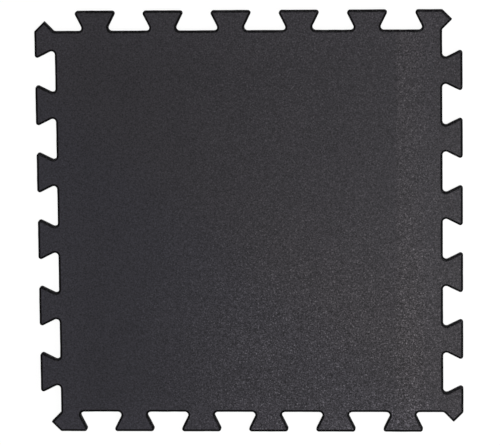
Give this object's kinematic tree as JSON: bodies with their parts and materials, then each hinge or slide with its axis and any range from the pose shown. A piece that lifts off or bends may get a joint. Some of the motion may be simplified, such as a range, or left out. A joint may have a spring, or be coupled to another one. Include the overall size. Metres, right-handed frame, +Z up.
{
  "type": "interlocking rubber gym floor tile",
  "caption": "Square rubber gym floor tile with dovetail tabs and sockets along every side and a pointed key at each corner, all cut in one sheet.",
  "frame": {"origin": "centre of the tile's underside, on the floor", "axes": "+Z up out of the top face, +X and +Y along the sides; seen from above with +Y away, the picture's top side is +Y"},
  "size_m": [0.6392, 0.6392, 0.0127],
  "materials": {
    "rubber": "matte, fine granular, charcoal black"
  },
  "bodies": {
    "root": {"rubber_tile": "rubber"}
  },
  "joints": []
}
